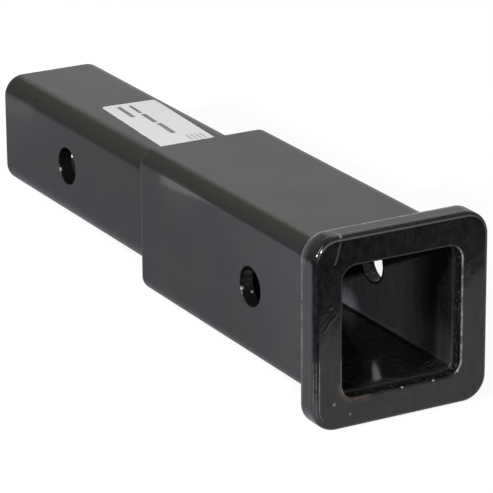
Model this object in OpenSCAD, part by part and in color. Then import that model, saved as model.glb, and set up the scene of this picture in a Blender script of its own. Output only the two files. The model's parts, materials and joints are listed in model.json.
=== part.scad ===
// Hitch receiver extender: a square shank that goes into a vehicle's receiver, let into a wider square
// tube that takes a ball mount of the same size, with a cast collar round its mouth. All welded.
// Millimetres. The length runs along X, towards the mouth. The origin is the middle of the shank's
// pin hole, the pin holes run along Y, and Z is up.

/* [Shank] */
// Width and height of the shank
shank_size = 50.8; // [38:0.1:64]
// Wall of the shank
shank_wall = 6.35; // [3:0.05:8]
// Radius of the shank's outer corners
shank_corner = 9.2; // [7:0.1:12]
// Radius of the shank's inner corners
shank_bore_corner = 2; // [0.5:0.1:6]
// Shank's far end to the middle of its pin hole
end_to_pin = 63.5; // [30:0.5:120]
// Middle of the shank's pin hole to the receiver tube's rear end
pin_to_shoulder = 83.5; // [60:0.5:130]
// Length of shank let into the receiver tube
shank_overlap = 25.4; // [10:0.1:40]

/* [Receiver tube] */
// Clearance between the socket and a shank, on each side
slip_gap = 0.4; // [0.2:0.05:1]
// Wall of the receiver tube
receiver_wall = 5.95; // [4:0.05:8]
// Radius of the receiver tube's outer corners
receiver_corner = 7; // [5.5:0.1:12]
// Radius of the socket's inner corners
socket_corner = 3; // [1:0.1:6]
// Pin hole to pin hole
pin_to_pin = 177.8; // [165:0.1:320]
// Middle of the receiver tube's pin hole to the front of the mouth
pin_to_mouth = 65.2; // [50:0.1:110]

/* [Pin holes] */
// Width of the pin holes
pin_hole = 16.6; // [12:0.1:20]
// Width of the broken edge round each pin hole
hole_chamfer = 0.5; // [0.2:0.1:1]

/* [Mouth collar] */
// How far the collar stands proud of the receiver tube, on each side
collar_rise = 8.2; // [5.5:0.1:12]
// Length of the collar along the tube
collar_depth = 11.1; // [9:0.1:20]
// Length of the lip in front of the tube's end
lip_depth = 4.4; // [2.5:0.1:6.5]
// Step from the socket's wall out to the lip's opening, on each side
lip_step = 1.4; // [0.5:0.1:2.5]
// Radius of the collar's outer corners
collar_corner = 10.4; // [7:0.1:16]
// Radius of the opening's corners
lip_corner = 6; // [3:0.1:9]
// Round-over along the collar's front edge
front_round = 2.3; // [1:0.1:4]
// Round-over along the collar's back edge
back_round = 1; // [0.3:0.1:2]
// Round-over round the opening
mouth_round = 1; // [0.3:0.1:1.8]
// Clearance between the collar's seat and the tube, on each side
seat_gap = 0.15; // [0.05:0.05:0.4]

/* [Weld beads] */
// How far each bead's toe stays back from the edge of the face it is laid on
weld_setback = 1; // [0.3:0.1:2]
// How far a bead swells beyond a flat fillet
weld_crown = 0.6; // [0.2:0.1:1]
// Depth of the ripples on the beads
ripple_depth = 0.35; // [0.1:0.05:0.6]
// Length of one ripple along a bead
ripple_pitch = 3.4; // [2.6:0.1:6]
// How far a ripple's middle trails behind its ends
ripple_lag = 1.1; // [0:0.1:2]

/* [Label] */
// Length of the label
label_length = 71; // [30:1:80]
// Width of the label
label_width = 26; // [12:0.5:30]
// Thickness of the label
label_thickness = 0.15; // [0.1:0.05:0.4]
// Radius of the label's corners
label_corner = 2; // [0.5:0.1:5]
// Front end of the label to the receiver tube's rear end
label_to_shoulder = 9.5; // [8.5:0.5:14]
// Middle of the label, off the shank's centre line
label_side = 2.1; // [-4:0.1:4]
// Turn of the label, stuck on a little askew
label_turn = -3.5; // [-4:0.5:4]

/* [Hidden] */
$fn = 64;
// How far a cutting shape runs past what it cuts
past = 1;
// Points along one ripple
ripple_steps = 3;

shank_bore = shank_size - 2 * shank_wall;
socket_size = shank_size + 2 * slip_gap;
receiver_size = socket_size + 2 * receiver_wall;
collar_size = receiver_size + 2 * collar_rise;
lip_size = socket_size + 2 * lip_step;

shank_end_x = -end_to_pin;
shoulder_x = pin_to_shoulder;
shank_nose_x = shoulder_x + shank_overlap;
mouth_x = pin_to_pin + pin_to_mouth;
tube_front_x = mouth_x - lip_depth;
collar_back_x = mouth_x - collar_depth;

rear_weld_leg = receiver_wall + slip_gap - weld_setback;
collar_weld_leg = collar_rise - back_round - weld_setback;

black_paint = "#3a3a3c";
collar_paint = "#2a2a2c";
label_white = "#e8e8e6";

// Turns a shape drawn upright on the floor so that its height runs along X
module lying_at(x)
  translate([x, 0, 0])
    rotate([0, 90, 0])
      children();

// Rectangle with round corners
module round_rectangle(length, width, corner) {
  square([length, width - 2 * corner], center = true);
  square([length - 2 * corner, width], center = true);
  for (sx = [-1, 1], sy = [-1, 1])
    translate([sx * (length / 2 - corner), sy * (width / 2 - corner)])
      circle(corner);
}

module round_square(size, corner)
  round_rectangle(size, size, corner);

// Square tube lying along X
module square_tube(from_x, to_x, outer, outer_corner, inner, inner_corner)
  difference() {
    lying_at(from_x)
      linear_extrude(to_x - from_x)
        round_square(outer, outer_corner);
    lying_at(from_x - past)
      linear_extrude(to_x - from_x + 2 * past)
        round_square(inner, inner_corner);
  }

// Pin hole straight through a tube, with its outer edges broken
module pin_hole_at(x, tube_size) {
  half = tube_size / 2;
  translate([x, 0, 0])
    rotate([90, 0, 0])
      cylinder(d = pin_hole, h = tube_size + 2 * past, center = true);
  for (side = [-1, 1])
    translate([x, side * half, 0])
      rotate([side * 90, 0, 0])
        translate([0, 0, -past])
          cylinder(r1 = pin_hole / 2 + hole_chamfer + past, r2 = pin_hole / 2 - past,
                   h = hole_chamfer + 2 * past);
}

// Carries a profile round a square: the profile's x is the distance out from the corners' centres,
// its y is the height
module round_the_square(flat)
  for (a = [0 : 90 : 270])
    rotate(a)
      translate([flat / 2, flat / 2, 0]) {
        rotate_extrude(angle = 90)
          children();
        rotate([90, 0, 0])
          linear_extrude(flat)
            children();
      }

// Half of the collar's section, from its corners' centres out, with both outer edges rounded over
module collar_rim() {
  square([collar_corner - front_round, collar_depth]);
  square([collar_corner - back_round, collar_depth - front_round]);
  translate([0, back_round])
    square([collar_corner, collar_depth - front_round - back_round]);
  translate([collar_corner - front_round, collar_depth - front_round])
    circle(front_round);
  translate([collar_corner - back_round, back_round])
    circle(back_round);
}

// What the round-over takes off the opening's edge
module mouth_edge()
  difference() {
    translate([lip_corner - past, collar_depth - mouth_round])
      square([mouth_round + past, mouth_round + past]);
    translate([lip_corner + mouth_round, collar_depth - mouth_round])
      circle(mouth_round);
  }

// Ripples along one side and round one corner of a bead
function side_ripples(flat) = round(flat / ripple_pitch);
function corner_ripples(reach) = max(2, round(reach * PI / 2 / ripple_pitch));

// Point beside a square's outline. u counts steps along it, of which each side has n and each corner k.
// out is the distance from the corners' centres, and x is the place along the tube.
function outline_point(u, n, k, flat, out, x) =
  let (
    quarter = n + k,
    turn = floor(u / quarter),
    v = u - turn * quarter,
    a = 90 * turn + (v > n ? (v - n) * 90 / k : 0),
    slide = v > n ? 0 : (v / n - 1) * flat,
    cy = flat / 2 * (cos(90 * turn) - sin(90 * turn)) - slide * sin(90 * turn),
    cz = flat / 2 * (sin(90 * turn) + cos(90 * turn)) + slide * cos(90 * turn)
  )
  [x, cy + out * cos(a), cz + out * sin(a)];

// Fillet bead in the corner between a square tube and the flat end face at face_x, built as a ring of
// sections. Its root stays tangent to the tube, and the crown swells once for each ripple.
module rippled_bead(face_x, tube_size, corner, leg) {
  flat = tube_size - 2 * corner;
  n = side_ripples(flat) * ripple_steps;
  k = corner_ripples(corner + leg / 2) * ripple_steps;
  stations = 4 * (n + k);
  // sections sit half a step off the corners, and this keeps their chords just clear of the round corner
  clear = 1 / cos(45 / k);
  step_length = flat / n;
  // places across the bead's face, from its outer toe to the tube
  crown = [0.25, 0.5, 0.75];
  section = len(crown) + 3;
  points = [
    for (i = [0 : stations - 1])
      let (
        u = i + 0.5,
        wave = ripple_depth * (1 - cos(360 * (i % ripple_steps) / ripple_steps)) / 2,
        root = corner * (((u % (n + k)) > n) ? clear : 1)
      )
      for (j = [0 : section - 1])
        j == 0 ? outline_point(u, n, k, flat, root, face_x)
        : j == 1 ? outline_point(u, n, k, flat, corner + leg, face_x)
        : j == section - 1 ? outline_point(u, n, k, flat, root, face_x - leg)
        : let (
            t = crown[j - 2],
            swell = (weld_crown - wave) * sin(180 * t),
            lag = ripple_lag / step_length * sin(180 * t),
            out = corner + leg * (1 - t) + swell * sqrt(0.5),
            back = leg * t + swell * sqrt(0.5)
          )
          outline_point((u + stations - lag) % stations, n, k, flat, out, face_x - back)
  ];
  faces = [
    for (i = [0 : stations - 1], j = [0 : section - 1])
      let (
        i2 = (i + 1) % stations,
        j2 = (j + 1) % section,
        a = i * section + j,
        b = i * section + j2,
        c = i2 * section + j2,
        d = i2 * section + j
      )
      each [[a, b, c], [a, c, d]]
  ];
  polyhedron(points, faces, convexity = 8);
}

module shank_tube()
  color(black_paint)
    difference() {
      square_tube(shank_end_x, shank_nose_x, shank_size, shank_corner, shank_bore, shank_bore_corner);
      pin_hole_at(0, shank_size);
    }

module receiver_tube()
  color(black_paint)
    difference() {
      square_tube(shoulder_x, tube_front_x, receiver_size, receiver_corner, socket_size, socket_corner);
      pin_hole_at(pin_to_pin, receiver_size);
    }

module mouth_collar() {
  flat = collar_size - 2 * collar_corner;
  seat = receiver_size + 2 * seat_gap;
  color(collar_paint)
    lying_at(collar_back_x)
      difference() {
        union() {
          translate([-flat / 2, -flat / 2, 0])
            cube([flat, flat, collar_depth]);
          round_the_square(flat)
            collar_rim();
        }
        translate([0, 0, -past])
          linear_extrude(collar_depth - lip_depth + past)
            round_square(seat, receiver_corner + seat_gap);
        translate([0, 0, -past])
          linear_extrude(collar_depth + 2 * past)
            round_square(lip_size, lip_corner);
        round_the_square(lip_size - 2 * lip_corner)
          mouth_edge();
      }
}

module rear_weld()
  color(black_paint)
    rippled_bead(shoulder_x, shank_size, shank_corner, rear_weld_leg);

module collar_weld()
  color(black_paint)
    rippled_bead(collar_back_x, receiver_size, receiver_corner, collar_weld_leg);

module label()
  color(label_white)
    translate([shoulder_x - label_to_shoulder - label_length / 2, label_side, shank_size / 2])
      rotate([0, 0, label_turn])
        linear_extrude(label_thickness)
          round_rectangle(label_length, label_width, label_corner);

shank_tube();
receiver_tube();
mouth_collar();
rear_weld();
collar_weld();
label();
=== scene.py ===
"""Looks of the hitch receiver extender: satin black tubes, glossier collar, rippled welds, sticker."""
import json
import math

import bmesh
import bpy
from mathutils import Matrix, Vector, noise


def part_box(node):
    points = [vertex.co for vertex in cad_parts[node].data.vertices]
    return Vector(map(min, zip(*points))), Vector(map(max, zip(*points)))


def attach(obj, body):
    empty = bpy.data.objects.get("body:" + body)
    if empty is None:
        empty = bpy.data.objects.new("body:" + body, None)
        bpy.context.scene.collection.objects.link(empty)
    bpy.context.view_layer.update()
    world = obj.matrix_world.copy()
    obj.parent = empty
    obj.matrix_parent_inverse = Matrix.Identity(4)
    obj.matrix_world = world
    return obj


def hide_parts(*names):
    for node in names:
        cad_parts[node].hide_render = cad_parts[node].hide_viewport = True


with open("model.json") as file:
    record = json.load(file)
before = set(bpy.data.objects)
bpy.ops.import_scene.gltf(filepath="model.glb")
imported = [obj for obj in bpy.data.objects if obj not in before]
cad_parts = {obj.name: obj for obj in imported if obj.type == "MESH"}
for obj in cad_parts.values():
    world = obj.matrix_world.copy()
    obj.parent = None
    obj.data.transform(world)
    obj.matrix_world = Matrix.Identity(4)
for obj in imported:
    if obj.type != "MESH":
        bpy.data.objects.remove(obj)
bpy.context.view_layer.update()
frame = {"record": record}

MM = 0.001

# Camera, fitted to the outline, the collar's edges and the pin holes of the photograph
CAMERA_AZIMUTH = math.radians(60.763)
CAMERA_ELEVATION = math.radians(19.421)
CAMERA_ROLL = math.radians(-0.366)
CAMERA_DISTANCE = 1.3833
CAMERA_AIM = Vector((0.1365, -0.01006, 0.00067))
CAMERA_LENS = 243.11
SENSOR_WIDTH = 36.0

# Places and sizes that come from the frame
SHANK_LOW, SHANK_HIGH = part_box("shank_tube")
TUBE_LOW, TUBE_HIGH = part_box("receiver_tube")
COLLAR_LOW, COLLAR_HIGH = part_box("mouth_collar")
REAR_WELD_LOW, REAR_WELD_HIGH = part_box("rear_weld")
COLLAR_WELD_LOW, COLLAR_WELD_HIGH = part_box("collar_weld")
LABEL_LOW, LABEL_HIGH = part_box("label")
REAR_WELD_LEG = REAR_WELD_HIGH.x - REAR_WELD_LOW.x
COLLAR_WELD_LEG = COLLAR_WELD_HIGH.x - COLLAR_WELD_LOW.x
SHANK_HALF = SHANK_HIGH.z
TUBE_HALF = TUBE_HIGH.z
COLLAR_HALF = COLLAR_HIGH.z
PIN_BORES = {mount["name"]: mount for mount in frame["record"]["mounts"] if mount["kind"] == "bore"}

# Sizes that the boxes don't give, as in the part
SHANK_WALL = 6.35 * MM
SHANK_CORNER = 9.2 * MM
SHANK_BORE_CORNER = 2 * MM
SOCKET_HALF = 25.8 * MM
SOCKET_CORNER = 3 * MM
TUBE_CORNER = 7 * MM
COLLAR_CORNER = 10.4 * MM
LIP_DEPTH = 4.4 * MM
LIP_HALF = 27.2 * MM
LIP_CORNER = 6 * MM
SEAT_GAP = 0.15 * MM
FRONT_ROUND = 2.3 * MM
BACK_ROUND = 1 * MM
MOUTH_ROUND = 1 * MM
HOLE_ROUND = 0.5 * MM
TUBE_END_ROUND = 0.5 * MM
WELD_CROWN = 0.6 * MM
RIPPLE_DEPTH = 0.35 * MM
RIPPLE_PITCH = 3.4 * MM
# How far the ripples' middle trails their ends and how far they wander, in ripples
RIPPLE_TRAIL = 0.42
RIPPLE_WANDER = 0.25
LABEL_LENGTH = 71 * MM
LABEL_WIDTH = 26 * MM
LABEL_CORNER = 2 * MM
LABEL_CENTRE = Vector((38.5, 2.1, 0)) * MM
LABEL_TURN = math.radians(-3.5)

# How finely the round shapes are divided
HOLE_STEPS = 96
FLARE_STEPS = 5
FLARE_TURN = math.radians(80)
CORNER_STEPS = 14
CROWN_STEPS = 10
BEAD_STEP = 0.3 * MM
LABEL_BENDS = 6
LABEL_BEND_STEP = 0.2 * MM
SHARP_TURN = math.radians(40)
SAME_PLACE = 1e-6

# The white table's edge in front of the part, painted into what gloss mirrors of the table, which the
# collar's face mirrors: its distance and direction
TABLE_EDGE = 326 * MM
TABLE_EDGE_TURN = math.radians(71)
TABLE_SIZE = 8.0

# Each lamp's name, direction from the part, distance, size and level
LAMPS = (
    ("back_window", (-0.68, 0.67, 0.28), 4.0, (5.2, 2.5), 0.415),
    ("key", (0.31, -0.86, 0.4), 1.6, (0.12, 0.12), 545),
    ("key_strip", (0.34, -0.66, 0.68), 1.6, (0.16, 0.9), 11),
    ("front_fill", (0.84, -0.38, 0.39), 1.6, (0.04, 0.04), 2900),
)

# Marks on the tubes' left side, in mm along and up: the painted edge highlight's two ends, the haze's line
# and a speck
HIGHLIGHT_START, HIGHLIGHT_END = 98, 160
SHANK_HAZE = ((-61, 13), (-38, 16))
SIDE_SPECK = (-33, 21.6)
# A speck on the shank's top, in mm along and across
TOP_SPECK = (-57.2, -2.8)

# Glints painted on the pin holes' walls, in mm along and up: place, soft edge, depths from none to full,
# strength
PIN_GLINTS = (
    ((-7.5, -3.6), 0.8, (1.3, 0.6), 0.4),
    ((170.2, -3.1), 0.7, (1.6, 0.8), 0.35),
)
DEEP_GLINT = (171.3, -5.1)

# Marks on the collar's face, in mm across and up
PAINT_RUN = ((-28.6, 37.6), (-29.5, 35.5), (-29.8, 33.4), (-30.6, 31.4), (-31, 29.8))
PAINT_RIDGE = ((-30.8, 7.8), (-33, 6), (-35.2, 3))
PAINT_BLOB = (-32.6, 12)
RUSTY_CORNER = ((-28, -22), (-27.3, -27.3), (-16, -28))
# The same for its chips, each with a radius and a strength
CHIPS = (
    ((-31, -28.5), 0.45, 0.35),
    ((-23.7, -33.9), 0.4, 0.25),
    ((0.2, -27.3), 0.4, 0.9),
    ((14.7, -27.4), 0.35, 0.8),
    ((26.1, -25.8), 0.35, 0.4),
)
# How far in from the collar's rim its painted highlight lines run, in mm, each with a strength
RIM_HIGHLIGHT_LINES = ((2.3, 0.8), (1.05, 0.35), (0.3, 0.25))
# The run's loop over the collar's top, in mm along and across, and the nick in its left side, along and up
PAINT_LOOP = ((233, -30.3), (235.7, -27.9), (238.9, -27.1), (241.8, -27.6))
SIDE_NICK = ((232.2, 13.6), (233.6, 12.4))

# Plain bars on the sticker, in mm from its centre: start, end, middle, width and length of a dash
DARK_BARS = (
    (-31.9, -15.3, -6.3, 1.9, 2.2),
    (-31.8, -19.8, -0.9, 1.5, 3.1),
    (-17.5, -4, -0.7, 2.1, 1.6),
    (-2, 13.9, -0.1, 2.1, 1.7),
)
PALE_BARS = [(18.6, 26.4, middle, 1.1, 9.0) for middle in (3.2, 5.4, 7.6, 9.8)]

scene = bpy.context.scene
scene.view_settings.view_transform = "Standard"


def add_camera():
    back = Vector((
        math.sin(CAMERA_AZIMUTH) * math.cos(CAMERA_ELEVATION),
        -math.cos(CAMERA_AZIMUTH) * math.cos(CAMERA_ELEVATION),
        math.sin(CAMERA_ELEVATION),
    ))
    right = Vector((0, 0, 1)).cross(back).normalized()
    up = back.cross(right)
    place = Matrix.Translation(CAMERA_AIM + back * CAMERA_DISTANCE)
    turn = Matrix((right, up, back)).transposed().to_4x4()
    camera = bpy.data.objects.new("camera", bpy.data.cameras.new("camera"))
    camera.matrix_world = place @ turn @ Matrix.Rotation(CAMERA_ROLL, 4, "Z")
    camera.data.lens = CAMERA_LENS
    camera.data.sensor_width = SENSOR_WIDTH
    camera.data.clip_start = 0.05
    camera.data.clip_end = 20
    scene.collection.objects.link(camera)
    scene.camera = camera


def grey(level, tint=(1, 1, 1)):
    return tuple(level * t for t in tint) + (1,)


class Number:
    """A number that varies over a surface. An operator on it adds a Math node."""

    def __init__(self, finish, socket):
        self.finish = finish
        self.socket = socket

    def math(self, operation, *values):
        return self.finish.node("ShaderNodeMath", {"operation": operation}, dict(enumerate(values)))

    def __add__(self, other):
        return self.math("ADD", self, other)

    def __sub__(self, other):
        return self.math("SUBTRACT", self, other)

    def __rsub__(self, other):
        return self.math("SUBTRACT", other, self)

    def __mul__(self, other):
        return self.math("MULTIPLY", self, other)

    def __truediv__(self, other):
        return self.math("DIVIDE", self, other)

    def __rtruediv__(self, other):
        return self.math("DIVIDE", other, self)

    def __pow__(self, other):
        return self.math("POWER", self, other)

    def __rpow__(self, other):
        return self.math("POWER", other, self)

    def __abs__(self):
        return self.math("ABSOLUTE", self)

    def least(self, other):
        return self.math("MINIMUM", self, other)

    def most(self, other):
        return self.math("MAXIMUM", self, other)

    __radd__ = __add__
    __rmul__ = __mul__


class Finish:
    """The nodes of a material or of the world. Patterns are in metres on Object coordinates."""

    def __init__(self, owner):
        owner.use_nodes = True
        self.owner = owner
        self.tree = owner.node_tree
        self.tree.nodes.clear()

    def node(self, kind, settings=None, inputs=None, output=0):
        made = self.tree.nodes.new(kind)
        for key, value in (settings or {}).items():
            setattr(made, key, value)
        for key, value in (inputs or {}).items():
            if isinstance(value, Number):
                self.tree.links.new(value.socket, made.inputs[key])
            else:
                made.inputs[key].default_value = value
        return Number(self, made.outputs[output])

    def place(self, output="Object"):
        return self.node("ShaderNodeTexCoord", output=output)

    def axes(self, place=None):
        parts = self.node("ShaderNodeSeparateXYZ", inputs={0: place or self.place()})
        return [Number(self, socket) for socket in parts.socket.node.outputs]

    def stretched(self, scale, turn=(0, 0, 0), centre=(0, 0, 0)):
        values = {"Vector": self.place(), "Location": centre, "Rotation": turn, "Scale": scale}
        return self.node("ShaderNodeMapping", {"vector_type": "TEXTURE"}, values)

    def noise(self, size, detail, roughness=0.5, place=None):
        values = {"Scale": 1 / size, "Detail": detail, "Roughness": roughness}
        return self.node("ShaderNodeTexNoise", inputs={"Vector": place or self.place(), **values})

    def stretched_noise(self, sizes, detail, roughness, turn=(0, 0, 0)):
        """Noise with a size of its own along each axis."""
        return self.noise(1.0, detail, roughness, self.stretched(sizes, turn))

    def ramp(self, value, low, high, bottom=0.0, top=1.0):
        values = {0: value, 1: low, 2: high, 3: bottom, 4: top}
        return self.node("ShaderNodeMapRange", {"interpolation_type": "SMOOTHSTEP"}, values)

    def mix(self, mask, first, second):
        return self.node("ShaderNodeMix", {"data_type": "RGBA"}, {0: mask, 6: first, 7: second}, 2)

    def bump(self, height, distance, normal=None):
        values = {"Height": height, "Distance": distance}
        if normal:
            values["Normal"] = normal
        return self.node("ShaderNodeBump", inputs=values)

    def spot(self, across, up, centre, radius, soft):
        """A round spot in the plane of two coordinates, 1 inside and 0 outside."""
        off = ((across - centre[0]) ** 2 + (up - centre[1]) ** 2) ** 0.5
        return self.ramp(off, radius + soft, radius)

    def line_distance(self, across, up, points):
        """Distance from a line drawn through points in the plane of two coordinates."""
        nearest = None
        for (a0, b0), (a1, b1) in zip(points, points[1:]):
            run, rise = a1 - a0, b1 - b0
            squared = run * run + rise * rise
            share = (((across - a0) * run + (up - b0) * rise) / squared).most(0.0).least(1.0)
            off = ((across - a0 - share * run) ** 2 + (up - b0 - share * rise) ** 2) ** 0.5
            nearest = nearest.least(off) if nearest else off
        return nearest

    def square_distance(self, across, up, half, corner):
        """Distance outside a square with round corners, less than 0 within it."""
        flat = half - corner
        return ((abs(across) - flat).most(0.0) ** 2 + (abs(up) - flat).most(0.0) ** 2) ** 0.5 - corner

    def light_path(self, *names):
        outputs = self.node("ShaderNodeLightPath").socket.node.outputs
        return [Number(self, outputs[name]) for name in names]

    def painted(self, **inputs):
        named = {key.replace("_", " "): value for key, value in inputs.items()}
        return self.surface(self.node("ShaderNodeBsdfPrincipled", inputs=named))

    def surface(self, shader, kind="ShaderNodeOutputMaterial"):
        out = self.tree.nodes.new(kind)
        self.tree.links.new(shader.socket, out.inputs["Surface"])
        return self.owner


def white_table():
    """White to the camera, with the part's shadow kept. What gloss mirrors of the table is a painted level:
    painted shade beside the part, painted light before the mouth, and dark past edges painted into it.
    """
    finish = Finish(bpy.data.materials.new("white_table"))
    camera, glossy, through = finish.light_path("Is Camera Ray", "Is Glossy Ray", "Is Transmission Ray")
    x, y, _ = finish.axes()

    # The tubes' sides mirror the table beside them, with painted shade near the part, and the collar's face
    # the table before the mouth, with painted light
    shade_beside = finish.ramp(x - 2.5 * (y + 50 * MM), 130 * MM, 250 * MM, 0.4, 0.705)
    shade_beside = shade_beside + finish.ramp(x, -85 * MM, -130 * MM, 0.0, 0.06)
    light_before_mouth = finish.ramp(x, 215 * MM, 250 * MM, 0.0, 0.79)
    left_edge = finish.ramp(y, -250 * MM, -150 * MM, 0.15, 1.0)
    cut_corner = finish.ramp((x - y) * math.sqrt(0.5), 246 * MM, 230 * MM, 0.15, 1.0)
    to_edge = x * math.sin(TABLE_EDGE_TURN) - y * math.cos(TABLE_EDGE_TURN)
    front_edge = finish.ramp(to_edge, TABLE_EDGE + 7 * MM, TABLE_EDGE - 9 * MM, 0.08)
    # What gloss sees of the table: painted shade beside the part, painted light before the mouth, dark past
    # the painted edges
    level = shade_beside.most(light_before_mouth) * left_edge * cut_corner * front_edge

    board = finish.node("ShaderNodeBsdfDiffuse", inputs={"Color": grey(0.45)})
    lit = finish.node("ShaderNodeBsdfDiffuse", inputs={"Color": grey(0.2)})
    glow = finish.node("ShaderNodeEmission", inputs={"Color": grey(1.0), "Strength": 0.86})
    seen = finish.node("ShaderNodeAddShader", inputs={0: lit, 1: glow})
    colour = finish.mix(level, grey(0.0), grey(1.0, (0.98, 0.97, 1.05)))
    mirrored = finish.node("ShaderNodeEmission", inputs={"Color": colour})
    mirror = finish.node("ShaderNodeMixShader", inputs={0: glossy.most(through), 1: board, 2: mirrored})
    return finish.surface(finish.node("ShaderNodeMixShader", inputs={0: camera, 1: mirror, 2: seen}))


def add_table():
    """Table under the part as it comes to rest, on the collar's lower edge and the shank's far end."""
    mesh = bmesh.new()
    bmesh.ops.create_grid(mesh, x_segments=1, y_segments=1, size=TABLE_SIZE / 2)
    tilt = math.atan((SHANK_LOW.z - COLLAR_LOW.z) / (COLLAR_LOW.x - SHANK_LOW.x))
    under_shank = Matrix.Translation((SHANK_LOW.x, 0, SHANK_LOW.z)) @ Matrix.Rotation(tilt, 4, "Y")
    bmesh.ops.transform(mesh, matrix=under_shank, verts=mesh.verts)
    data = bpy.data.meshes.new("table")
    mesh.to_mesh(data)
    mesh.free()
    data.materials.append(white_table())
    table = bpy.data.objects.new("table", data)
    scene.collection.objects.link(table)


def add_world():
    """White to the camera. To all else a room, dim before the mouth and lighter behind the part."""
    world = bpy.data.worlds.new("studio")
    scene.world = world
    finish = Finish(world)
    toward_mouth, _, height = finish.axes(finish.place("Generated"))
    walls = finish.mix(finish.ramp(toward_mouth, 0.2, -0.5), grey(0.03), grey(0.17, (1, 1, 0.96)))
    colour = finish.mix(finish.ramp(height, -0.05, 0.75), walls, grey(0.3, (1, 1, 0.94)))
    room = finish.node("ShaderNodeBackground", inputs={"Color": colour, "Strength": 1.0})
    white = finish.node("ShaderNodeBackground", inputs={"Color": grey(1.0), "Strength": 1.0})
    camera = finish.light_path("Is Camera Ray")[0]
    seen = finish.node("ShaderNodeMixShader", inputs={0: camera, 1: room, 2: white})
    finish.surface(seen, "ShaderNodeOutputWorld")


def add_light(name, toward, distance, size, level):
    """A soft light in a direction from the part. level is how bright its face looks, white being 1."""
    data = bpy.data.lights.new(name, "AREA")
    data.shape = "RECTANGLE"
    data.size, data.size_y = size
    data.energy = level * math.pi * size[0] * size[1]
    lamp = bpy.data.objects.new(name, data)
    toward = Vector(toward).normalized()
    lamp.location = CAMERA_AIM + toward * distance
    lamp.rotation_euler = toward.to_track_quat("Z", "Y").to_euler()
    lamp.visible_camera = False
    scene.collection.objects.link(lamp)


def satin_paint():
    """Black powder coat on the tubes, with a fine orange peel, a little dust and a few rubbed places, a
    tint painted per face, and highlights painted along two edges.
    """
    finish = Finish(bpy.data.materials.new("satin_black_paint"))
    x, y, z = finish.axes()
    along, across, up = x / MM, y / MM, z / MM
    half = finish.ramp(x, TUBE_LOW.x - 0.1 * MM, TUBE_LOW.x + 0.1 * MM, SHANK_HALF, TUBE_HALF)
    on_left = finish.ramp(y + half, 0.9 * MM, 0.2 * MM)
    cloud = finish.noise(26 * MM, 3)
    peel = finish.noise(1.1 * MM, 2, 0.6)
    wave = finish.noise(7 * MM, 2)
    dust = finish.ramp(finish.noise(0.7 * MM, 1), 0.68, 0.8)
    rubbed = finish.ramp(finish.stretched_noise((60 * MM, 3 * MM, 3 * MM), 3, 0.6), 0.56, 0.8)
    patchy = finish.ramp(finish.noise(6 * MM, 4, 0.6), 0.3, 0.62, 0.75, 1.0)

    # A highlight is painted hugging the receiver tube's upper edge, thinning out toward the mouth, with a
    # faint painted sheen below it
    risen = up - (along - 106) * 0.08
    upper_edge_highlight = finish.ramp(risen, 21, 23.6) * finish.ramp(up, 26.4, 25.7)
    upper_edge_highlight = upper_edge_highlight * finish.ramp(along, HIGHLIGHT_START, HIGHLIGHT_START + 10) * finish.ramp(along, HIGHLIGHT_END, 125)
    below = finish.ramp(along, 95, 112) * finish.ramp(along, 150, 112)
    upper_edge_highlight = upper_edge_highlight + finish.ramp(up, 6, 24) * below * 0.2
    haze = finish.ramp(finish.line_distance(along, up, SHANK_HAZE), 8, 0.5)

    # A highlight is painted along the receiver tube's rear edge on the left, and two specks sit on the
    # shank
    rear_edge_highlight = finish.ramp(abs(x - TUBE_LOW.x - 0.2 * MM), 0.9 * MM, 0.3 * MM)
    rear_edge_highlight = rear_edge_highlight * finish.ramp(across, -27, -29) * finish.ramp(up, -22, -10)
    rear_edge_highlight = rear_edge_highlight * finish.ramp(finish.noise(5 * MM, 3, 0.6), 0.3, 0.6, 0.35, 1.0)
    top_speck = finish.spot(along, across, TOP_SPECK, 0.7, 0.5) * finish.ramp(up, 24.5, 25.2)
    side_speck = finish.spot(along, up, SIDE_SPECK, 0.8, 0.9) * finish.ramp(across, 0, -10)

    # Painted reflection tint: the left face gets a cloudy bluish tint and the other faces a warm one, for
    # the colours the faces mirror
    side = finish.mix(
        finish.ramp(cloud, 0.35, 0.65), grey(0.013, (0.92, 0.94, 1.25)), grey(0.014, (1.08, 1.0, 0.98)),
    )
    colour = finish.mix(on_left, grey(0.013, (1.05, 1.03, 0.92)), side)
    colour = finish.mix(dust * 0.2 + rubbed * 0.1, colour, grey(0.07))
    # Painted highlight along the receiver tube's upper left edge, with a fainter painted sheen below it
    colour = finish.mix(upper_edge_highlight * on_left * patchy, colour, grey(0.062, (1.06, 0.96, 1.0)))
    colour = finish.mix(haze * on_left * patchy, colour, grey(0.03, (1.1, 0.97, 0.93)))
    # Painted highlight along the receiver tube's rear left edge
    colour = finish.mix(rear_edge_highlight * 0.8, colour, grey(0.07, (1.06, 1.0, 0.92)))
    colour = finish.mix(top_speck.most(side_speck * 0.8), colour, grey(0.004))
    return finish.painted(
        Base_Color=colour,
        Roughness=finish.ramp(cloud, 0.3, 0.7, 0.2, 0.25) + rubbed * 0.04,
        Normal=finish.bump(wave, 0.05 * MM, finish.bump(peel, 0.016 * MM)),
    )


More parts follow.
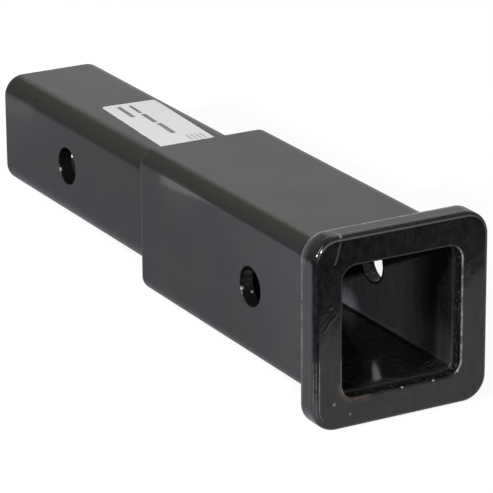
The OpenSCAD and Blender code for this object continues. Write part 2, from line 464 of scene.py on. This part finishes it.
def socket_paint():
    """Thinner paint on the inside of the receiver tube, over mill scale, bare deeper in, with shade painted
    on the wall near the mouth and under the lip.
    """
    finish = Finish(bpy.data.materials.new("socket_paint"))
    x, _, z = finish.axes()
    cloud = finish.noise(12 * MM, 4, 0.6)
    grain = finish.noise(1.4 * MM, 3, 0.6)
    streaks = finish.stretched_noise((3 * MM, 3 * MM, 16 * MM), 4, 0.65)
    on_wall = finish.ramp(z, 0.8 * MM - SOCKET_HALF, 1.6 * MM - SOCKET_HALF)

    # The scale is bare from the pin hole inward, but for a dark ring of paint round the hole; toward the
    # mouth the wall is kept dark, painted shade over where the key light falls
    pin = PIN_BORES["receiver_pin_bore"]["pos_m"]
    round_pin = finish.spot(x, z, (pin[0], pin[2]), 8.8 * MM, 0.9 * MM)
    bare_scale_and_mouth_shade = on_wall * finish.ramp(x, COLLAR_HIGH.x - 18 * MM, COLLAR_HIGH.x - 46 * MM)
    bare_scale_and_mouth_shade = bare_scale_and_mouth_shade * finish.ramp(streaks, 0.3, 0.7, 0.75, 1.1) * finish.ramp(grain, 0.35, 0.65, 0.85, 1.1)
    low = on_wall * finish.ramp(z, -3 * MM, -20 * MM) * finish.ramp(streaks, 0.35, 0.65, 0.6, 1.0)
    specks = finish.ramp(grain, 0.42, 0.72) * finish.ramp(cloud, 0.3, 0.6)
    specks = specks * finish.ramp(z, 0.05 * MM - SOCKET_HALF, 0.3 * MM - SOCKET_HALF, 0.45, 0.15)

    # High up the wall is painted darker than low down: painted shade under the lip, with streaks
    colour = finish.mix(low, grey(0.004), grey(0.02))
    # Bare scale deep in; near the mouth the dark colours above stay, as painted shade
    colour = finish.mix(bare_scale_and_mouth_shade - round_pin, colour, grey(0.075, (0.97, 0.97, 1.1)))
    colour = finish.mix(specks, colour, grey(0.06, (1.1, 1, 0.9)))
    return finish.painted(
        Base_Color=colour,
        Roughness=finish.ramp(cloud, 0.3, 0.7, 0.08, 0.14) + finish.ramp(x, 234 * MM, 238 * MM) * 0.3,
        Normal=finish.bump(grain, 0.006 * MM),
    )


def bore_scale():
    """Matt mill scale inside the shank."""
    finish = Finish(bpy.data.materials.new("bore_scale"))
    grain = finish.noise(1.6 * MM, 4, 0.65)
    return finish.painted(
        Base_Color=finish.mix(finish.ramp(grain, 0.35, 0.7), grey(0.02), grey(0.045)),
        Roughness=0.75,
        Normal=finish.bump(grain, 0.12 * MM),
    )


def drilled_wall():
    """Wall of a pin hole: turned rings under black paint, thin deeper in, and glints painted at the rim."""
    finish = Finish(bpy.data.materials.new("drilled_wall"))
    x, y, z = finish.axes()
    along, up = x / MM, z / MM
    rings = finish.stretched_noise((30 * MM, 0.5 * MM, 30 * MM), 2, 0.6)
    streaks = finish.stretched_noise((2.1 * MM, 8 * MM, 2.1 * MM), 3, 0.6)
    at_receiver = finish.ramp(along, 60, 100)
    depth = finish.ramp(along, 60, 100, SHANK_HALF / MM, TUBE_HALF / MM) + y / MM

    # The paint is thin in the upper half of the receiver's near hole and all round the far holes
    thin = finish.ramp(depth, 1.0, 2.4) * finish.ramp(up, -5, 0) * at_receiver * 0.45
    thin = thin.most(finish.ramp(y, 15 * MM, 20 * MM) * 1.6) * finish.ramp(streaks, 0.5, 0.64, 0.1, 1.0)
    # Pale spots at the rims are painted glints, each nick below being one of them
    glints = finish.spot(along, up, DEEP_GLINT, 0.3, 0.4) * finish.ramp(abs(depth - 4.6), 0.8, 0.2) * 0.25
    for place, soft, (deepest, full), strength in PIN_GLINTS:
        nick = finish.spot(along, up, place, 0.3, soft) * finish.ramp(depth, deepest, full)
        glints = glints.most(nick * strength)
    return finish.painted(
        Base_Color=finish.mix(glints, finish.mix(thin, grey(0.004), grey(0.1)), grey(0.6)),
        Roughness=0.3,
        Specular_IOR_Level=0.3,
        Normal=finish.bump(rings, 0.03 * MM),
    )


def gloss_paint():
    """Glossier black paint over the cast collar, with a sag, scratches, chips and a little rust, and
    highlights painted along its rounds and on its run's loop.
    """
    finish = Finish(bpy.data.materials.new("gloss_black_paint"))
    x, y, z = finish.axes()
    along, across, up = x / MM, y / MM, z / MM
    from_back = along - COLLAR_LOW.x / MM
    from_front = COLLAR_HIGH.x / MM - along
    from_opening = finish.square_distance(across, up, LIP_HALF / MM, LIP_CORNER / MM)
    from_rim = finish.square_distance(across, up, COLLAR_HALF / MM, COLLAR_CORNER / MM)
    at_front = finish.ramp(from_front, 2.4, 1.2)
    cloud = finish.noise(20 * MM, 3)
    wave = finish.noise(6 * MM, 3, 0.55)
    grit = finish.noise(0.9 * MM, 2, 0.6)
    uneven = finish.ramp(finish.noise(3 * MM, 3, 0.65), 0.35, 0.65)
    dusty = finish.ramp(grit, 0.66, 0.78)
    mottled = finish.ramp(finish.stretched_noise((2 * MM, 2 * MM, 3.6 * MM), 4, 0.65), 0.34, 0.66)
    scratched = finish.stretched_noise((4 * MM, 22 * MM, 1.4 * MM), 2, 0.6, (math.radians(24), 0, 0))
    scratched = finish.ramp(scratched, 0.6, 0.74)

    # Raised paint: the run at the upper left corner, its loop over the top, and a ridge and a blob below
    run = finish.ramp(finish.line_distance(across, up, PAINT_RUN), 0.95, 0.0) * 0.8
    loop = finish.ramp(finish.line_distance(along, across, PAINT_LOOP), 0.8, 0.0)
    loop = loop * finish.ramp(up, 38.2, 38.9)
    ridge = finish.ramp(finish.line_distance(across, up, PAINT_RIDGE), 1.1, 0.0) * 0.5
    blob = finish.spot(across, up, PAINT_BLOB, 0.2, 1.0)
    raised = (run.most(ridge.most(blob) * 0.6) * at_front).most(loop)
    rim_ridges = finish.ramp(abs(from_back - 0.9), 0.8, 0.0)
    rim_ridges = rim_ridges.most(finish.ramp(abs(from_front - 3.3), 0.9, 0.0))

    # Painted highlights: lines along the rim's round, low on the left and over the top, and a line along
    # the collar's back edge that widens at its upper left corner
    low_left = finish.ramp(across, -34, -35.5) * finish.ramp(up, -7.5, -12) * finish.ramp(up, -36, -31)
    low_left = low_left * finish.ramp(uneven, 0.0, 1.0, 0.4, 1.0)
    rim_highlights = finish.ramp(abs(from_rim + 1.3), 0.5, 0.1) * at_front * finish.ramp(up, 30, 36) * 0.35
    for inward, strength in RIM_HIGHLIGHT_LINES:
        rim_highlights = rim_highlights.most(finish.ramp(abs(from_rim + inward), 0.32, 0.08) * low_left * strength)
    back_corner_highlight = finish.ramp(up, 26, 31) * finish.ramp(across, -26, -31) * finish.ramp(from_back, 6, 1.5)
    back_edge_highlight = finish.ramp(abs(from_back - 0.9), 1.6, 0.3) * finish.ramp(up, -38, -15, 0.2, 1.0)
    back_edge_highlight = back_edge_highlight * finish.ramp(uneven, 0.0, 1.0, 0.5, 1.0)

    # The opening's edge is worn through, with chips, and rust has started at its lower left corner
    edge_wear = finish.ramp(abs(from_opening - 0.35), 0.75, 0.15)
    right_edge = finish.ramp(across, 24, 26.5) * finish.ramp(uneven, 0.0, 1.0, 0.1, 0.4)
    left_edge = finish.ramp(across, -25.5, -27) * finish.ramp(up, -9, -12) * 0.3
    chips = edge_wear * right_edge.most(left_edge)
    for place, radius, strength in CHIPS:
        chips = chips.most(finish.spot(across, up, place, radius, 0.3) * strength)
    nick = finish.ramp(finish.line_distance(along, up, SIDE_NICK), 0.7, 0.2)
    nick = nick * finish.ramp(across, -39, -39.6)
    rust = finish.ramp(finish.line_distance(across, up, RUSTY_CORNER), 3.2, 0.3)
    rust = rust * finish.ramp(finish.noise(4 * MM, 4, 0.6), 0.32, 0.6, 0.25, 1.0)
    rust = rust * finish.ramp(from_opening, 4, 0.2)

    tint = (0.95, 0.97, 1.1)
    colour = finish.mix(mottled, grey(0.0045, tint), grey(0.0105, tint))
    colour = finish.mix(dusty * 0.25 + scratched * 0.12, colour, grey(0.06))
    # Painted highlight widening the back edge's line at the collar's upper left corner
    colour = finish.mix(back_corner_highlight, colour, grey(0.036))
    # Painted highlight along the collar's back edge, brighter toward the top
    colour = finish.mix(back_edge_highlight, colour, finish.mix(finish.ramp(up, 36, 39.5), grey(0.08), grey(0.22)))
    # The raised loop is real; its pale colour is a painted highlight on it
    colour = finish.mix(loop * 0.6, colour, grey(0.25))
    # Painted highlights along the rim's round
    colour = finish.mix(rim_highlights, colour, grey(0.16))
    colour = finish.mix(rust * 0.6, colour, (0.09, 0.055, 0.035, 1))
    colour = finish.mix(chips * at_front, colour, grey(0.4))
    colour = finish.mix(nick, colour, grey(0.002))
    roughness = finish.ramp(cloud, 0.3, 0.7, 0.1, 0.15) + scratched * 0.08 + rust * 0.3
    normal = finish.bump(rim_ridges, 0.06 * MM)
    for height, distance in ((wave, 0.12), (grit, 0.008), (raised, 0.25)):
        normal = finish.bump(height, distance * MM, normal)
    return finish.painted(
        Base_Color=colour,
        Roughness=roughness + finish.ramp(from_opening, 1.2, 0.6) * 0.25,
        Normal=normal,
    )


def cast_wall():
    """Rough cast wall of the opening, dark and matt."""
    finish = Finish(bpy.data.materials.new("cast_wall"))
    grain = finish.noise(1.3 * MM, 4, 0.7)
    return finish.painted(
        Base_Color=finish.mix(finish.ramp(grain, 0.54, 0.66), grey(0.001), grey(0.05)),
        Roughness=0.7,
        Specular_IOR_Level=0.1,
        Normal=finish.bump(grain, 0.2 * MM),
    )


def weld_paint():
    """Black paint over the rippled bead."""
    finish = Finish(bpy.data.materials.new("weld_paint"))
    spatter = finish.noise(0.9 * MM, 3, 0.65)
    return finish.painted(
        Base_Color=finish.mix(finish.ramp(spatter, 0.6, 0.8), grey(0.024), grey(0.05)),
        Roughness=0.36,
        Normal=finish.bump(spatter, 0.05 * MM),
    )


def label_film():
    """Pale sticker with plain dashed bars."""
    finish = Finish(bpy.data.materials.new("label_film"))
    along, across, _ = finish.axes(finish.stretched((MM, MM, MM), (0, 0, LABEL_TURN), LABEL_CENTRE))
    cloud = finish.noise(5 * MM, 3)
    worn = finish.ramp(finish.noise(0.5 * MM, 1), 0.2, 0.6, 0.8, 1.0)

    def bars(rows):
        marked = None
        for start, end, middle, width, dash in rows:
            reach = (end - start) / 2
            bar = finish.ramp(abs(along - (start + end) / 2), reach + 0.1, reach)
            bar = bar * finish.ramp(abs(across - middle), width / 2 + 0.15, width / 2)
            comb = finish.node("ShaderNodeMath", {"operation": "PINGPONG"}, {0: along, 1: dash / 2})
            bar = bar * finish.ramp(comb, 0.05 * dash, 0.12 * dash)
            marked = marked.most(bar) if marked else bar
        return marked

    colour = finish.mix(bars(PALE_BARS) * 0.6, grey(0.78), grey(0.35))
    return finish.painted(
        Base_Color=finish.mix(bars(DARK_BARS) * worn, colour, grey(0.03)),
        Roughness=finish.ramp(cloud, 0.3, 0.7, 0.38, 0.5),
    )


def new_piece(name, mesh, materials, node):
    """A piece that stands for a node, its curved faces smooth and its flat ones flat."""
    data = bpy.data.meshes.new(name)
    mesh.to_mesh(data)
    mesh.free()
    for material in materials:
        data.materials.append(material)
    data.shade_smooth()
    data.set_sharp_from_angle(angle=SHARP_TURN)
    piece = bpy.data.objects.new(name, data)
    scene.collection.objects.link(piece)
    weigh = piece.modifiers.new("flat_faces_stay_flat", "WEIGHTED_NORMAL")
    weigh.keep_sharp = True
    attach(piece, "root")
    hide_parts(node)


def reshaped(value, old, new):
    """A coordinate of a point on one rounded square, (half, corner), moved to the same point of another."""
    past_flat = (abs(value) - (old[0] - old[1])) / old[1]
    if past_flat < 0:
        return value * (new[0] - new[1]) / (old[0] - old[1])
    return math.copysign(new[0] - new[1] + new[1] * past_flat, value)


def on_loop(vertex, loop):
    """Whether a vertex lies on the loop (x, half, corner)."""
    x, half, corner = loop
    past_y, past_z = (max(abs(value) - (half - corner), 0) for value in vertex.co[1:])
    off_loop = abs(math.hypot(past_y, past_z) - corner)
    return abs(vertex.co.x - x) < SAME_PLACE and off_loop < 2 * SAME_PLACE


def square_ring(loops, corner_steps=CORNER_STEPS, side_steps=1):
    """A closed ring drawn through square loops with round corners, each (x, half, corner)."""
    mesh = bmesh.new()
    x, half, corner = loops[0]
    points = [mesh.verts.new((x, half * y, half * z)) for y, z in ((1, -1), (1, 1), (-1, 1), (-1, -1))]
    mesh.faces.new(points)
    bmesh.ops.bevel(
        mesh, geom=points, offset=corner, offset_type="OFFSET", affect="VERTICES", segments=corner_steps,
        profile=0.5, material=-1, clamp_overlap=False,
    )
    bmesh.ops.delete(mesh, geom=mesh.faces[:], context="FACES_ONLY")
    if side_steps > 1:
        sides = [edge for edge in mesh.edges if edge.calc_length() > half]
        bmesh.ops.subdivide_edges(mesh, edges=sides, cuts=side_steps - 1)
    edges = mesh.edges[:]
    for old, new in zip(loops, loops[1:] + loops[:1]):
        made = bmesh.ops.extrude_edge_only(mesh, edges=edges)["geom"]
        edges = [e for e in made if isinstance(e, bmesh.types.BMEdge)]
        for vertex in (v for v in made if isinstance(v, bmesh.types.BMVert)):
            vertex.co = (new[0], *(reshaped(value, old[1:], new[1:]) for value in vertex.co[1:]))
    bmesh.ops.remove_doubles(mesh, verts=mesh.verts, dist=SAME_PLACE)
    bmesh.ops.recalc_face_normals(mesh, faces=mesh.faces)
    return mesh


def round_rims(mesh, loops, rounds):
    """Rounds over the rims that rounds names: a loop's number, and the radius and steps of its round."""
    for i, (radius, steps) in rounds.items():
        rim = [e for e in mesh.edges if all(on_loop(v, loops[i]) for v in e.verts)]
        bmesh.ops.bevel(
            mesh, geom=rim, offset=radius, offset_type="OFFSET", affect="EDGES", segments=steps,
            profile=0.5, material=-1, clamp_overlap=False,
        )


def pin_drill(centre, radius, half):
    """Cutter for a pin hole, flared at both faces of the tube so that the hole's edge comes out round."""
    flare = []
    for i in range(FLARE_STEPS + 1):
        turn = FLARE_TURN * i / FLARE_STEPS
        flare.append((half - HOLE_ROUND * (1 - math.sin(turn)), radius + HOLE_ROUND * (1 - math.cos(turn))))
    outline = flare + [(2 * half, flare[-1][1]), (2 * half, 0)]
    outline = [(-along, out) for along, out in reversed(outline)] + outline
    mesh = bmesh.new()
    points = [mesh.verts.new((centre.x, along, centre.z + out)) for along, out in outline]
    edges = [mesh.edges.new(pair) for pair in zip(points, points[1:])]
    bmesh.ops.spin(
        mesh, geom=points + edges, cent=centre, axis=(0, 1, 0), angle=math.tau, steps=HOLE_STEPS,
        use_merge=True,
    )
    bmesh.ops.remove_doubles(mesh, verts=mesh.verts, dist=SAME_PLACE / 10)
    bmesh.ops.recalc_face_normals(mesh, faces=mesh.faces)
    return mesh


def drilled(mesh, bore, half, material_index):
    """The tube's mesh with the pin hole drilled through it, the hole's wall in a material of its own."""
    centre = Vector(bore["pos_m"])
    radius = bore["dims"]["r_mm"] * MM
    parts = []
    for name, part in (("blank", mesh), ("drill", pin_drill(centre, radius, half))):
        data = bpy.data.meshes.new(name)
        part.to_mesh(data)
        part.free()
        parts.append(bpy.data.objects.new(name, data))
        scene.collection.objects.link(parts[-1])
    blank, drill = parts
    cut = blank.modifiers.new("cut", "BOOLEAN")
    cut.operation = "DIFFERENCE"
    cut.solver = "EXACT"
    cut.object = drill
    bpy.context.view_layer.update()
    result = bpy.data.meshes.new_from_object(blank.evaluated_get(bpy.context.evaluated_depsgraph_get()))
    made = bmesh.new()
    made.from_mesh(result)
    for thing in parts:
        bpy.data.objects.remove(thing)
    bpy.data.meshes.remove(result)
    for face in made.faces:
        if all(math.hypot(v.co.x - centre.x, v.co.z - centre.z) < radius + 0.3 * MM for v in face.verts):
            face.material_index = material_index
    return made


def add_tube(name, node, low_x, high_x, outer, inner, bore, inside):
    """A square tube from low_x to high_x, outer and inner each (half, corner), with its pin hole."""
    loops = [(low_x, *outer), (high_x, *outer), (high_x, *inner), (low_x, *inner)]
    mesh = square_ring(loops)
    round_rims(mesh, loops, {i: (TUBE_END_ROUND, 3) for i in range(4)})
    for face in mesh.faces:
        middle = face.calc_center_median()
        if max(abs(middle.y), abs(middle.z)) < inner[0] + 0.2 * MM:
            face.material_index = 1
    mesh = drilled(mesh, bore, outer[0], 2)
    new_piece(name, mesh, [SATIN_PAINT, inside, DRILLED_WALL], node)


def add_collar():
    back, front = COLLAR_LOW.x, COLLAR_HIGH.x
    seat = (TUBE_HALF + SEAT_GAP, TUBE_CORNER + SEAT_GAP)
    outer = (COLLAR_HALF, COLLAR_CORNER)
    lip = (LIP_HALF, LIP_CORNER)
    loops = [
        (back, *outer), (front, *outer), (front, *lip),
        (front - LIP_DEPTH, *lip), (front - LIP_DEPTH, *seat), (back, *seat),
    ]
    mesh = square_ring(loops)
    for face in mesh.faces:
        if all(on_loop(v, loops[2]) or on_loop(v, loops[3]) for v in face.verts):
            face.material_index = 1
    round_rims(mesh, loops, {0: (BACK_ROUND, 4), 1: (FRONT_ROUND, 10), 2: (MOUTH_ROUND, 5)})
    new_piece("collar", mesh, [GLOSS_PAINT, CAST_WALL], "mouth_collar")


def place_round(y, z, flat, corner):
    """How far a point lies round a square loop with round corners, from the middle of its +Y side."""
    side = round(math.atan2(z, y) / (math.pi / 2))
    turn = -side * math.pi / 2
    out, along = y * math.cos(turn) - z * math.sin(turn), y * math.sin(turn) + z * math.cos(turn)
    past_flat = abs(along) - flat
    if past_flat > 0:
        along = math.copysign(flat + corner * math.atan2(past_flat, out - flat), along)
    return side * (2 * flat + corner * math.pi / 2) + along


def add_bead(name, node, face_x, half, corner, leg):
    """Weld bead round a tube against a face at face_x, its crown in overlapping crescents."""
    crown = []
    for i in range(1, CROWN_STEPS):
        share = i / CROWN_STEPS
        swell = WELD_CROWN * math.sin(math.pi * share) * math.sqrt(0.5)
        crown.append((face_x - leg * share - swell, leg * (1 - share) + swell))
    loops = [(face_x, half, corner), (face_x, half + leg, corner + leg)]
    loops += [(x, half + out, corner + out) for x, out in crown]
    loops += [(face_x - leg, half, corner)]
    flat = half - corner
    middle = corner + leg / 2
    quarter = 2 * flat + middle * math.pi / 2
    pitch = 4 * quarter / round(4 * quarter / RIPPLE_PITCH)
    mesh = square_ring(loops, round(middle * math.pi / 2 / BEAD_STEP), round(2 * flat / BEAD_STEP))
    for vertex in mesh.verts:
        x, y, z = vertex.co
        off = Vector((0, math.copysign(max(abs(y) - flat, 0), y), math.copysign(max(abs(z) - flat, 0), z)))
        out, back = off.length - corner, face_x - x
        if min(out, back) < 0.01 * MM:
            continue
        share = 0.5 + (back - out) / (2 * leg)
        arch = math.sin(math.pi * share)
        wander = RIPPLE_WANDER * noise.noise(vertex.co / (9 * MM))
        wave = place_round(y, z, flat, middle) / pitch + wander - RIPPLE_TRAIL * arch
        dip = RIPPLE_DEPTH * (1 - abs(math.sin(math.pi * wave)) ** 0.7) * arch ** 0.6
        vertex.co -= dip * (off.normalized() - Vector((1, 0, 0))).normalized()
    new_piece(name, mesh, [WELD_PAINT], node)


def add_label():
    """Sticker on the shank's top, bent down where it passes the start of the round edge."""
    mesh = bmesh.new()
    half_length, half_width = LABEL_LENGTH / 2, LABEL_WIDTH / 2
    signs = ((-1, -1), (1, -1), (1, 1), (-1, 1))
    points = [mesh.verts.new((half_length * a, half_width * b, 0)) for a, b in signs]
    mesh.faces.new(points)
    bmesh.ops.bevel(
        mesh, geom=points, offset=LABEL_CORNER, offset_type="OFFSET", affect="VERTICES", segments=8,
        profile=0.5, material=-1, clamp_overlap=False,
    )
    askew = Matrix.Translation(LABEL_CENTRE) @ Matrix.Rotation(LABEL_TURN, 4, "Z")
    bmesh.ops.transform(mesh, matrix=askew, verts=mesh.verts)
    bend_start = SHANK_HALF - SHANK_CORNER
    for i in range(LABEL_BENDS):
        everything = mesh.verts[:] + mesh.edges[:] + mesh.faces[:]
        place = (0, bend_start + i * LABEL_BEND_STEP, 0)
        bmesh.ops.bisect_plane(mesh, geom=everything, plane_co=place, plane_no=(0, 1, 0))
    top = bmesh.ops.extrude_face_region(mesh, geom=mesh.faces[:])["geom"]
    top = [v for v in top if isinstance(v, bmesh.types.BMVert)]
    bmesh.ops.translate(mesh, vec=(0, 0, LABEL_HIGH.z - LABEL_LOW.z), verts=top)
    for vertex in mesh.verts:
        turn = max(vertex.co.y - bend_start, 0) / SHANK_CORNER
        reach = SHANK_CORNER + vertex.co.z
        if turn > 0:
            vertex.co.y = bend_start + reach * math.sin(turn)
        vertex.co.z = LABEL_LOW.z - SHANK_CORNER + reach * math.cos(turn)
    bmesh.ops.recalc_face_normals(mesh, faces=mesh.faces)
    new_piece("sticker", mesh, [LABEL_FILM], "label")


SATIN_PAINT = satin_paint()
SOCKET_PAINT = socket_paint()
BORE_SCALE = bore_scale()
DRILLED_WALL = drilled_wall()
GLOSS_PAINT = gloss_paint()
CAST_WALL = cast_wall()
WELD_PAINT = weld_paint()
LABEL_FILM = label_film()

add_camera()
add_tube(
    "shank", "shank_tube", SHANK_LOW.x, SHANK_HIGH.x,
    (SHANK_HALF, SHANK_CORNER), (SHANK_HALF - SHANK_WALL, SHANK_BORE_CORNER),
    PIN_BORES["shank_pin_bore"], BORE_SCALE,
)
add_tube(
    "receiver", "receiver_tube", TUBE_LOW.x, TUBE_HIGH.x,
    (TUBE_HALF, TUBE_CORNER), (SOCKET_HALF, SOCKET_CORNER),
    PIN_BORES["receiver_pin_bore"], SOCKET_PAINT,
)
add_collar()
add_bead("rear_bead", "rear_weld", TUBE_LOW.x, SHANK_HALF, SHANK_CORNER, REAR_WELD_LEG)
add_bead("collar_bead", "collar_weld", COLLAR_LOW.x, TUBE_HALF, TUBE_CORNER, COLLAR_WELD_LEG)
add_label()
add_table()
add_world()
for lamp in LAMPS:
    add_light(*lamp)
